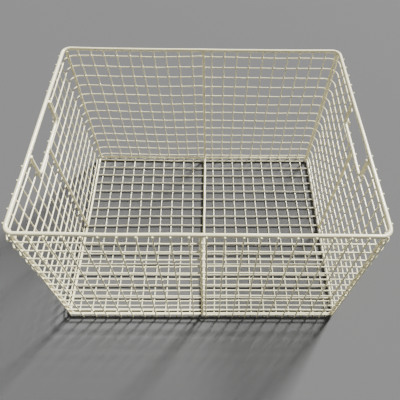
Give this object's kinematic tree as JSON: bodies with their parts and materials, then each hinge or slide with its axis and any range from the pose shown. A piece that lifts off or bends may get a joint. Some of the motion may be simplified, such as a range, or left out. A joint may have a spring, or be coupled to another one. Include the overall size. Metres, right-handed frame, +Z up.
{
  "type": "wire produce basket",
  "caption": "Open rectangular basket of welded, cream-coated wire with square mesh walls and floor, a round-cornered rim and a hand hole at each end.",
  "frame": {"origin": "centre of the floor, level with the undersides of the lowest floor wires", "axes": "+X to the basket's right-hand end, +Y to its back, +Z up out of its open top"},
  "size_m": [0.4188, 0.3268, 0.2543],
  "materials": {
    "heavy_wire": "thick glossy cream coating on steel wire",
    "frame_wire": "thick glossy cream coating on steel wire",
    "mesh_wire": "glossy cream coating, thicker at the welds"
  },
  "bodies": {
    "basket": {"back_left_post": "frame_wire", "back_left_uprights": "mesh_wire", "back_right_post": "frame_wire", "back_right_uprights": "mesh_wire", "bottom_ring": "frame_wire", "centre_hoop": "frame_wire", "floor_cross_wires": "mesh_wire", "floor_long_wires": "mesh_wire", "front_left_post": "frame_wire", "front_left_uprights": "mesh_wire", "front_right_post": "frame_wire", "front_right_uprights": "mesh_wire", "left_hand_hole_wire": "heavy_wire", "left_row_01": "mesh_wire", "left_row_02": "mesh_wire", "left_row_03": "mesh_wire", "left_row_04": "mesh_wire", "left_row_05": "mesh_wire", "left_row_06": "mesh_wire", "left_row_07": "mesh_wire", "left_row_08": "mesh_wire", "left_row_09": "mesh_wire", "left_row_10": "mesh_wire", "left_row_11": "mesh_wire", "left_row_12": "mesh_wire", "left_row_13": "mesh_wire", "left_side_front_uprights": "mesh_wire", "left_side_hand_hole_uprights": "mesh_wire", "left_side_rear_uprights": "mesh_wire", "left_side_rib": "frame_wire", "right_hand_hole_wire": "heavy_wire", "right_row_01": "mesh_wire", "right_row_02": "mesh_wire", "right_row_03": "mesh_wire", "right_row_04": "mesh_wire", "right_row_05": "mesh_wire", "right_row_06": "mesh_wire", "right_row_07": "mesh_wire", "right_row_08": "mesh_wire", "right_row_09": "mesh_wire", "right_row_10": "mesh_wire", "right_row_11": "mesh_wire", "right_row_12": "mesh_wire", "right_row_13": "mesh_wire", "right_side_front_uprights": "mesh_wire", "right_side_hand_hole_uprights": "mesh_wire", "right_side_rear_uprights": "mesh_wire", "right_side_rib": "frame_wire", "rim": "heavy_wire"}
  },
  "joints": []
}
